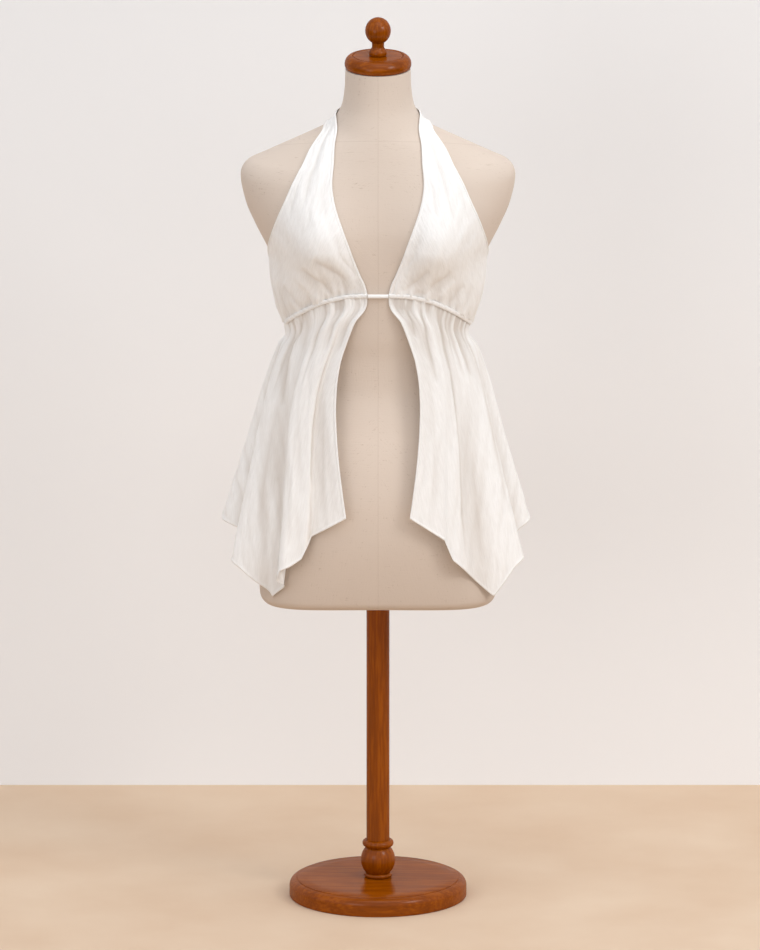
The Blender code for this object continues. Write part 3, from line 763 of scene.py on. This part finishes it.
def make_form(material):
    """The linen-covered body, from its rolled foot to the top of the neck."""
    around = 144
    lowest = FORM_SECTIONS[0][0]
    foot = [(lowest - FOOT_ROLL * math.cos(math.radians(a)), FOOT_ROLL * (1 - math.sin(math.radians(a))))
            for a in range(2, 90, 11)]
    levels = [lowest]
    for below, above in zip(FORM_SECTIONS, FORM_SECTIONS[1:]):
        steps = math.ceil(max((above[0] - below[0]) / 7, abs(above[1] - below[1]) / 5))
        levels += [between(below[0], above[0], (i + 1) / steps) for i in range(steps)]
    rings = foot + [(level, 0.0) for level in levels]
    heights = np.array([height for height, _ in rings])
    inset = np.array([amount for _, amount in rings])
    turns = np.linspace(0, 360, around + 1)
    turn, height = np.meshgrid(turns, np.maximum(heights, lowest), indexing="ij")
    points = form_point(turn, height)
    points[..., 2] = heights
    points[..., :2] -= unit(points[..., :2]) * inset[:, None]
    around_mm, up_mm = sheet_lengths(points)
    body, _ = laid_grid(points, around_mm, up_mm[0])
    bmesh.ops.remove_doubles(body, verts=body.verts, dist=0.02 * MM)
    rims = [edge for edge in body.edges if edge.is_boundary]
    bmesh.ops.holes_fill(body, edges=rims, sides=around)
    bmesh.ops.recalc_face_normals(body, faces=body.faces)
    mesh = bpy.data.meshes.new("linen_form")
    body.to_mesh(mesh)
    body.free()
    form = link("linen_form", mesh, material)
    mesh.set_sharp_from_angle(angle=math.radians(50))
    return form


def turned(name, profile, material, steps=96):
    """Wood turned on the stand's axis: the profile is (radius, height) pairs, from the bottom up."""
    lathe = bmesh.new()
    spots = [lathe.verts.new((radius * MM, 0, height * MM)) for radius, height in profile]
    edges = [lathe.edges.new(pair) for pair in zip(spots, spots[1:])]
    bmesh.ops.spin(lathe, geom=spots + edges, cent=(0, 0, 0), axis=(0, 0, 1), angle=2 * math.pi,
                   steps=steps, use_merge=True)
    bmesh.ops.remove_doubles(lathe, verts=lathe.verts, dist=0.01 * MM)
    bmesh.ops.recalc_face_normals(lathe, faces=lathe.faces)
    mesh = bpy.data.meshes.new(name)
    lathe.to_mesh(mesh)
    lathe.free()
    piece = link(name, mesh, material)
    mesh.set_sharp_from_angle(angle=math.radians(35))
    return piece


def arc(centre_radius, centre_height, radius, start, end, steps, tall=1.0):
    """Profile points along an arc, its angles in degrees from straight outwards; tall stretches it."""
    angles = [math.radians(between(start, end, i / steps)) for i in range(steps + 1)]
    return [(centre_radius + radius * math.cos(a), centre_height + radius * tall * math.sin(a))
            for a in angles]


def node_top(name):
    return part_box(name)[1].z / MM


def node_foot(name):
    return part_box(name)[0].z / MM


def node_radius(name):
    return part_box(name)[1].x / MM


def make_stand(upright, flat):
    """Base disc, turned foot, pole, neck cap and finial, on the sizes of their solids."""
    radius, top = node_radius("base_disc"), node_top("base_disc")
    edge_round, step = 10.5, 1.3
    base = turned("base_disc_wood", [(0, 0), (radius - 2, 0)] + arc(radius - 2, 2, 2, -90, 0, 4)
                  + arc(radius - edge_round, top - step - edge_round, edge_round, 0, 90, 14)
                  + [(radius - edge_round - 0.3, top - 0.3), (radius - edge_round - 0.8, top),
                     (radius - 30, top), (0, top)], flat, steps=160)

    foot, ball, ring = node_foot("foot_turning"), 23.8, 16.5
    ball_height = foot + 24.5
    turning = turned("turned_foot_wood", [(0, foot), (17.5, foot)] + arc(ring, foot + 3.0, 3.0, -60, 70, 8)
                     + arc(0, ball_height, ball, -46, 46, 26, 1.08)
                     + arc(ring, ball_height + 24, 5.2, -75, 75, 14)
                     + [(17.0, ball_height + 29), (0, ball_height + 29)], upright)

    pole_radius, pole_foot, pole_top = node_radius("pole"), node_foot("pole"), node_top("pole")
    pole = turned("pole_wood", [(0, pole_foot), (pole_radius, pole_foot), (pole_radius, pole_top),
                                (0, pole_top)], upright)

    cap_foot, cap_top, cap_radius = node_foot("neck_cap"), node_top("neck_cap"), node_radius("neck_cap")
    inset_radius, waist = 35.5, cap_foot + 6.5
    shoulder = [(inset_radius + 1 + (cap_radius - inset_radius - 1) * math.cos(math.radians(angle)),
                 waist + (cap_top - waist) * math.sin(math.radians(angle))) for angle in range(0, 91, 5)]
    cap = turned("neck_cap_wood", [(0, cap_foot), (42.5, cap_foot), (44.4, cap_foot + 0.8),
                                   (45.6, cap_foot + 2.2), (46.3, cap_foot + 4.2)] + shoulder
                 + [(inset_radius + 0.4, cap_top - 0.4), (inset_radius, cap_top - 1.3),
                    (inset_radius - 1, cap_top - 1.0), (inset_radius - 1.6, cap_top), (0, cap_top)], flat)

    collar, ball_radius, tall = node_foot("finial"), 17.9, 1.06
    ball_centre = node_top("finial") - ball_radius * tall
    # the collar's radius and its rise above its foot: a low bell that narrows to the ball's neck
    bell = ((0, 0), (10.8, 0), (11.9, 0.9), (12.5, 2.4), (12.6, 4.2), (12.3, 6.0), (11.6, 7.6), (10.4, 9.0),
            (9.2, 10.2), (8.6, 11.6), (8.4, 13.2))
    finial = turned("ball_finial_wood", [(radius, collar + rise) for radius, rise in bell]
                    + arc(0, ball_centre, ball_radius, -61, 90, 30, tall)[:-1]
                    + [(0, ball_centre + ball_radius * tall)], upright)
    for piece, node in ((base, "base_disc"), (turning, "foot_turning"), (pole, "pole"), (cap, "neck_cap"),
                        (finial, "finial")):
        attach(piece, "root")
        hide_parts(node)


# ---- Materials ----
def from_hex(code):
    """An sRGB hex colour as linear RGBA."""
    parts = [int(code[i:i + 2], 16) / 255 for i in (0, 2, 4)]
    return tuple(c / 12.92 if c <= 0.04045 else ((c + 0.055) / 1.055) ** 2.4 for c in parts) + (1.0,)


def add(material, kind, settings=None, links=None):
    """Add a node; links maps an input's name or number to a value or to another node's output."""
    node = material.node_tree.nodes.new(kind)
    for name, value in (settings or {}).items():
        setattr(node, name, value)
    for name, value in (links or {}).items():
        if isinstance(value, bpy.types.NodeSocket):
            material.node_tree.links.new(value, node.inputs[name])
        else:
            node.inputs[name].default_value = value
    return node


def new_material(name, **values):
    material = bpy.data.materials.new(name)
    material.use_nodes = True
    shader = material.node_tree.nodes["Principled BSDF"]
    for key, value in values.items():
        shader.inputs[key.replace("_", " ")].default_value = value
    return material, shader


def ramp(material, factor, stops):
    """A colour ramp between (position, hex colour) stops."""
    made = add(material, "ShaderNodeValToRGB", links={0: factor})
    band = made.color_ramp
    for i, (position, code) in enumerate(stops):
        stop = band.elements[i] if i < 2 else band.elements.new(position)
        stop.position = position
        stop.color = from_hex(code)
    return made.outputs["Color"]


def math_node(material, operation, *values):
    return add(material, "ShaderNodeMath", {"operation": operation}, dict(enumerate(values))).outputs[0]


NECK_SEAM_HEIGHT = 1079.0
THREAD_PITCH = 1.2
THREAD_SCALE = math.pi / (20 * THREAD_PITCH * MM)


def cotton_gauze():
    """Washed cotton gauze: matt and slightly fuzzy, with crinkles along the warp and uneven threads."""
    material, shader = new_material("cotton_gauze_washed", Roughness=0.92, Sheen_Weight=0.08,
                                    Sheen_Roughness=0.6, Specular_IOR_Level=0.25)
    uv = add(material, "ShaderNodeUVMap", {"uv_map": "cut"}).outputs[0]
    crinkle_place = add(material, "ShaderNodeMapping", links={"Vector": uv, "Scale": (1.0, 0.22, 1.0)})
    # crinkles about 5 mm apart and 25 mm long
    crinkle = add(material, "ShaderNodeTexNoise", links={
        "Vector": crinkle_place.outputs[0], "Scale": 200.0, "Detail": 3.0, "Roughness": 0.55})
    slub_place = add(material, "ShaderNodeMapping", links={"Vector": uv, "Scale": (1.0, 0.08, 1.0)})
    # thick threads about 1.4 mm apart
    slub = add(material, "ShaderNodeTexNoise", links={
        "Vector": slub_place.outputs[0], "Scale": 700.0, "Detail": 2.0, "Roughness": 0.6})
    # threads, drawn coarser than the real ones so that they show
    warp = add(material, "ShaderNodeTexWave", {"wave_type": "BANDS", "bands_direction": "X"}, {
        "Vector": uv, "Scale": THREAD_SCALE, "Distortion": 0.6, "Detail": 1.0})
    weft = add(material, "ShaderNodeTexWave", {"wave_type": "BANDS", "bands_direction": "Y"}, {
        "Vector": uv, "Scale": THREAD_SCALE, "Distortion": 0.6, "Detail": 1.0})
    threads = math_node(material, "MAXIMUM", warp.outputs["Fac"], weft.outputs["Fac"])
    tone = math_node(material, "MULTIPLY_ADD", crinkle.outputs["Fac"], 0.6, slub.outputs["Fac"])
    washed = ramp(material, tone, ((0.45, "EFEDEA"), (1.15, "FBFAF8")))
    # painted shade: the colour darkens toward C4B8AC in the folds' troughs and creases, where less light
    # falls
    painted_shade = add(material, "ShaderNodeAttribute", {"attribute_name": "painted_shade_depth"}).outputs["Fac"]
    colour = add(material, "ShaderNodeMixRGB", links={
        0: math_node(material, "MULTIPLY", painted_shade, 0.55), 1: washed, 2: from_hex("C4B8AC")}).outputs[0]
    material.node_tree.links.new(colour, shader.inputs["Base Color"])
    high = add(material, "ShaderNodeBump", links={
        "Strength": 0.7, "Distance": 0.0012, "Height": crinkle.outputs["Fac"]})
    middle = add(material, "ShaderNodeBump", links={
        "Strength": 0.45, "Distance": 0.0003, "Height": slub.outputs["Fac"], "Normal": high.outputs[0]})
    fine = add(material, "ShaderNodeBump", links={
        "Strength": 0.25, "Distance": 0.0002, "Height": threads, "Normal": middle.outputs[0]})
    material.node_tree.links.new(fine.outputs[0], shader.inputs["Normal"])
    return material


def form_linen():
    """Natural linen stretched over the form: a plain weave with slubs, matt, with pressed seams."""
    material, shader = new_material("linen_plain_weave", Roughness=0.88, Sheen_Weight=0.1,
                                    Specular_IOR_Level=0.3)
    uv = add(material, "ShaderNodeUVMap", {"uv_map": "cut"}).outputs[0]
    upright = add(material, "ShaderNodeMapping", links={"Vector": uv, "Scale": (1.0, 0.12, 1.0)})
    level = add(material, "ShaderNodeMapping", links={"Vector": uv, "Scale": (0.12, 1.0, 1.0)})
    warp = add(material, "ShaderNodeTexNoise", links={
        "Vector": upright.outputs[0], "Scale": 520.0, "Detail": 3.0, "Roughness": 0.6})
    weft = add(material, "ShaderNodeTexNoise", links={
        "Vector": level.outputs[0], "Scale": 520.0, "Detail": 3.0, "Roughness": 0.6})
    threads = math_node(material, "ADD", warp.outputs["Fac"], weft.outputs["Fac"])
    cloud = add(material, "ShaderNodeTexNoise", links={"Vector": uv, "Scale": 14.0, "Detail": 3.0})
    tone = math_node(material, "MULTIPLY_ADD", cloud.outputs["Fac"], 0.35, threads)
    woven = ramp(material, tone, ((0.75, "C4B09D"), (1.6, "E5D6C8")))
    place = add(material, "ShaderNodeTexCoord").outputs["Object"]
    parts = add(material, "ShaderNodeSeparateXYZ", links={0: place}).outputs
    # painted shade: greyer low down on the hips where less light falls, lightest near 0.68 m and a little
    # greyer again at the top, by height in metres
    painted_height_shade = ramp(material, parts["Z"], ((0.43, "DFDAD5"), (0.68, "FFFFFF"), (0.86, "F3F2F1")))
    toned = add(material, "ShaderNodeMixRGB", {"blend_type": "MULTIPLY"}, {
        0: 1.0, 1: woven, 2: painted_height_shade}).outputs[0]
    # pressed seams 1.2 mm wide: down the centre front and back, and round the foot of the neck
    centre = math_node(material, "ABSOLUTE", parts["X"])
    slope = math_node(material, "MULTIPLY", parts["Y"], 0.35)
    collar = math_node(material, "ABSOLUTE", math_node(material, "SUBTRACT",
                       math_node(material, "ADD", parts["Z"], slope), NECK_SEAM_HEIGHT * MM))
    nearest = math_node(material, "MINIMUM", centre, collar)
    seam = add(material, "ShaderNodeMapRange", {"interpolation_type": "SMOOTHSTEP"}, {
        "Value": nearest, "From Min": 0.0002, "From Max": 0.0009, "To Min": 1.0, "To Max": 0.0}).outputs[0]
    shade = add(material, "ShaderNodeMixRGB", links={
        0: math_node(material, "MULTIPLY", seam, 0.16), 1: toned, 2: from_hex("A8927E")}).outputs[0]
    material.node_tree.links.new(shade, shader.inputs["Base Color"])
    weave = add(material, "ShaderNodeBump", links={
        "Strength": 0.5, "Distance": 0.0004, "Height": threads})
    groove = add(material, "ShaderNodeBump", {"invert": True}, {
        "Strength": 0.15, "Distance": 0.0004, "Height": seam, "Normal": weave.outputs[0]})
    material.node_tree.links.new(groove.outputs[0], shader.inputs["Normal"])
    return material


def stained_wood(name, grain_scale):
    """Beech, stained red-brown and varnished: long faint grain under a satin coat."""
    material, shader = new_material(name, Roughness=0.5, Specular_IOR_Level=0.0,
                                    Coat_Weight=0.4, Coat_Roughness=0.2)
    place = add(material, "ShaderNodeTexCoord").outputs["Object"]
    grain_place = add(material, "ShaderNodeMapping", links={"Vector": place, "Scale": grain_scale})
    # grain lines about 3 mm apart
    grain = add(material, "ShaderNodeTexNoise", links={
        "Vector": grain_place.outputs[0], "Scale": 330.0, "Detail": 4.0, "Roughness": 0.6, "Distortion": 0.1})
    broad = add(material, "ShaderNodeTexNoise", links={
        "Vector": grain_place.outputs[0], "Scale": 70.0, "Detail": 2.0})
    tone = math_node(material, "MULTIPLY_ADD", broad.outputs["Fac"], 0.7, grain.outputs["Fac"])
    colour = ramp(material, tone, ((0.5, "713300"), (0.85, "864000"), (1.2, "974C01")))
    material.node_tree.links.new(colour, shader.inputs["Base Color"])
    bump = add(material, "ShaderNodeBump", links={
        "Strength": 0.15, "Distance": 0.0003, "Height": grain.outputs["Fac"]})
    material.node_tree.links.new(bump.outputs[0], shader.inputs["Normal"])
    return material


# ---- The top and the form ----
cotton = cotton_gauze()
linen = form_linen()
make_stand(stained_wood("beech_stained_upright", (1.0, 1.0, 0.06)),
           stained_wood("beech_stained_flat", (0.06, 1.0, 1.0)))
form = make_form(linen)
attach(form, "root")
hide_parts("torso")

cloth = {
    "cup_left": make_cup("left", cotton),
    "cup_right": make_cup("right", cotton),
    "neck_strap": make_neck_strap(cotton),
    "underbust_band": make_band(cotton),
    "peplum_front_left": make_front_panel("left", cotton),
    "peplum_front_right": make_front_panel("right", cotton),
    "peplum_back": make_back_panel(cotton),
}
bridge = make_bridge(cotton)
for node, piece in list(cloth.items()) + [("bridge_cord", bridge)]:
    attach(piece, "root")
    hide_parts(node)


# ---- Room, light and camera ----
def plane(name, corners, material):
    sheet = bmesh.new()
    sheet.faces.new([sheet.verts.new(corner) for corner in corners])
    mesh = bpy.data.meshes.new(name)
    sheet.to_mesh(mesh)
    sheet.free()
    thing = bpy.data.objects.new(name, mesh)
    mesh.materials.append(material)
    bpy.context.collection.objects.link(thing)
    return thing


def floor_finish():
    """Pale sealed floor, matt, with faint slow changes of tone."""
    material, shader = new_material("floor_sealed", Roughness=0.75, Specular_IOR_Level=0.2)
    place = add(material, "ShaderNodeTexCoord").outputs["Object"]
    cloud = add(material, "ShaderNodeTexNoise", links={"Vector": place, "Scale": 5.0, "Detail": 5.0})
    colour = ramp(material, cloud.outputs["Fac"], ((0.3, "D8BDA2"), (0.7, "E0C9B0")))
    material.node_tree.links.new(colour, shader.inputs["Base Color"])
    return material


def wall_finish():
    """Pale painted wall, seen only from its front so that views from behind stay clear."""
    material, shader = new_material("wall_paint", Roughness=0.9, Specular_IOR_Level=0.1)
    shader.inputs["Base Color"].default_value = from_hex("F3F4F5")
    clear = add(material, "ShaderNodeBsdfTransparent")
    behind = add(material, "ShaderNodeNewGeometry").outputs["Backfacing"]
    mixed = add(material, "ShaderNodeMixShader", links={
        0: behind, 1: shader.outputs[0], 2: clear.outputs[0]})
    output = material.node_tree.nodes["Material Output"]
    material.node_tree.links.new(mixed.outputs[0], output.inputs["Surface"])
    return material


WALL_BEHIND = 0.59
ROOM = 8.0
FLOOR = 2.2
plane("floor", ((-FLOOR, -FLOOR, 0), (FLOOR, -FLOOR, 0), (FLOOR, FLOOR, 0), (-FLOOR, FLOOR, 0)),
      floor_finish())
plane("wall", ((-ROOM, WALL_BEHIND, 0), (ROOM, WALL_BEHIND, 0), (ROOM, WALL_BEHIND, ROOM),
               (-ROOM, WALL_BEHIND, ROOM)), wall_finish())


def area_light(name, place, aim, size, power, colour):
    data = bpy.data.lights.new(name, "AREA")
    data.shape = "DISK"
    data.size = size
    data.energy = power
    data.color = from_hex(colour)[:3]
    light = bpy.data.objects.new(name, data)
    light.location = place
    light.rotation_euler = (Vector(aim) - Vector(place)).to_track_quat("-Z", "Y").to_euler()
    light.visible_camera = False
    bpy.context.collection.objects.link(light)


area_light("key_right", (3.1, -2.45, 3.3), (0, 0, 0.8), 1.6, 51, "FFFDFB")
area_light("fill_left", (-2.1, -3.6, 1.3), (0, 0, 0.75), 1.8, 17, "FFFFFF")
area_light("overhead_soft", (0.4, -0.9, 3.4), (0, 0, 0.6), 2.4, 16, "FFFFFF")

# Soft light from the room above, and almost none from below the floor
world = bpy.data.worlds.new("studio")
world.use_nodes = True
nodes, links = world.node_tree.nodes, world.node_tree.links
direction = nodes.new("ShaderNodeTexCoord")
parts = nodes.new("ShaderNodeSeparateXYZ")
links.new(direction.outputs["Generated"], parts.inputs[0])
shade = nodes.new("ShaderNodeValToRGB")
shade.color_ramp.elements[0].position = 0.0
shade.color_ramp.elements[0].color = from_hex("6A625C")
shade.color_ramp.elements[1].position = 0.12
shade.color_ramp.elements[1].color = from_hex("FAFBFF")
links.new(parts.outputs["Z"], shade.inputs[0])
links.new(shade.outputs[0], nodes["Background"].inputs["Color"])
nodes["Background"].inputs["Strength"].default_value = 0.93
bpy.context.scene.world = world
bpy.context.scene.view_settings.view_transform = "Standard"

FRAME_HEIGHT = 1320.5    # millimetres that the frame takes in, from its foot to its top
ELEVATION = math.radians(15)
AIM = Vector((0.0028, 0, 0.604))
DISTANCE = 6.0
camera_data = bpy.data.cameras.new("camera")
camera_data.type = "ORTHO"
camera_data.ortho_scale = FRAME_HEIGHT * MM
camera_data.clip_end = 60
camera = bpy.data.objects.new("camera", camera_data)
camera.location = AIM + Vector((0, -math.cos(ELEVATION), math.sin(ELEVATION))) * DISTANCE
camera.rotation_euler = (math.pi / 2 - ELEVATION, 0, 0)
bpy.context.collection.objects.link(camera)
bpy.context.scene.camera = camera

bpy.context.view_layer.update()
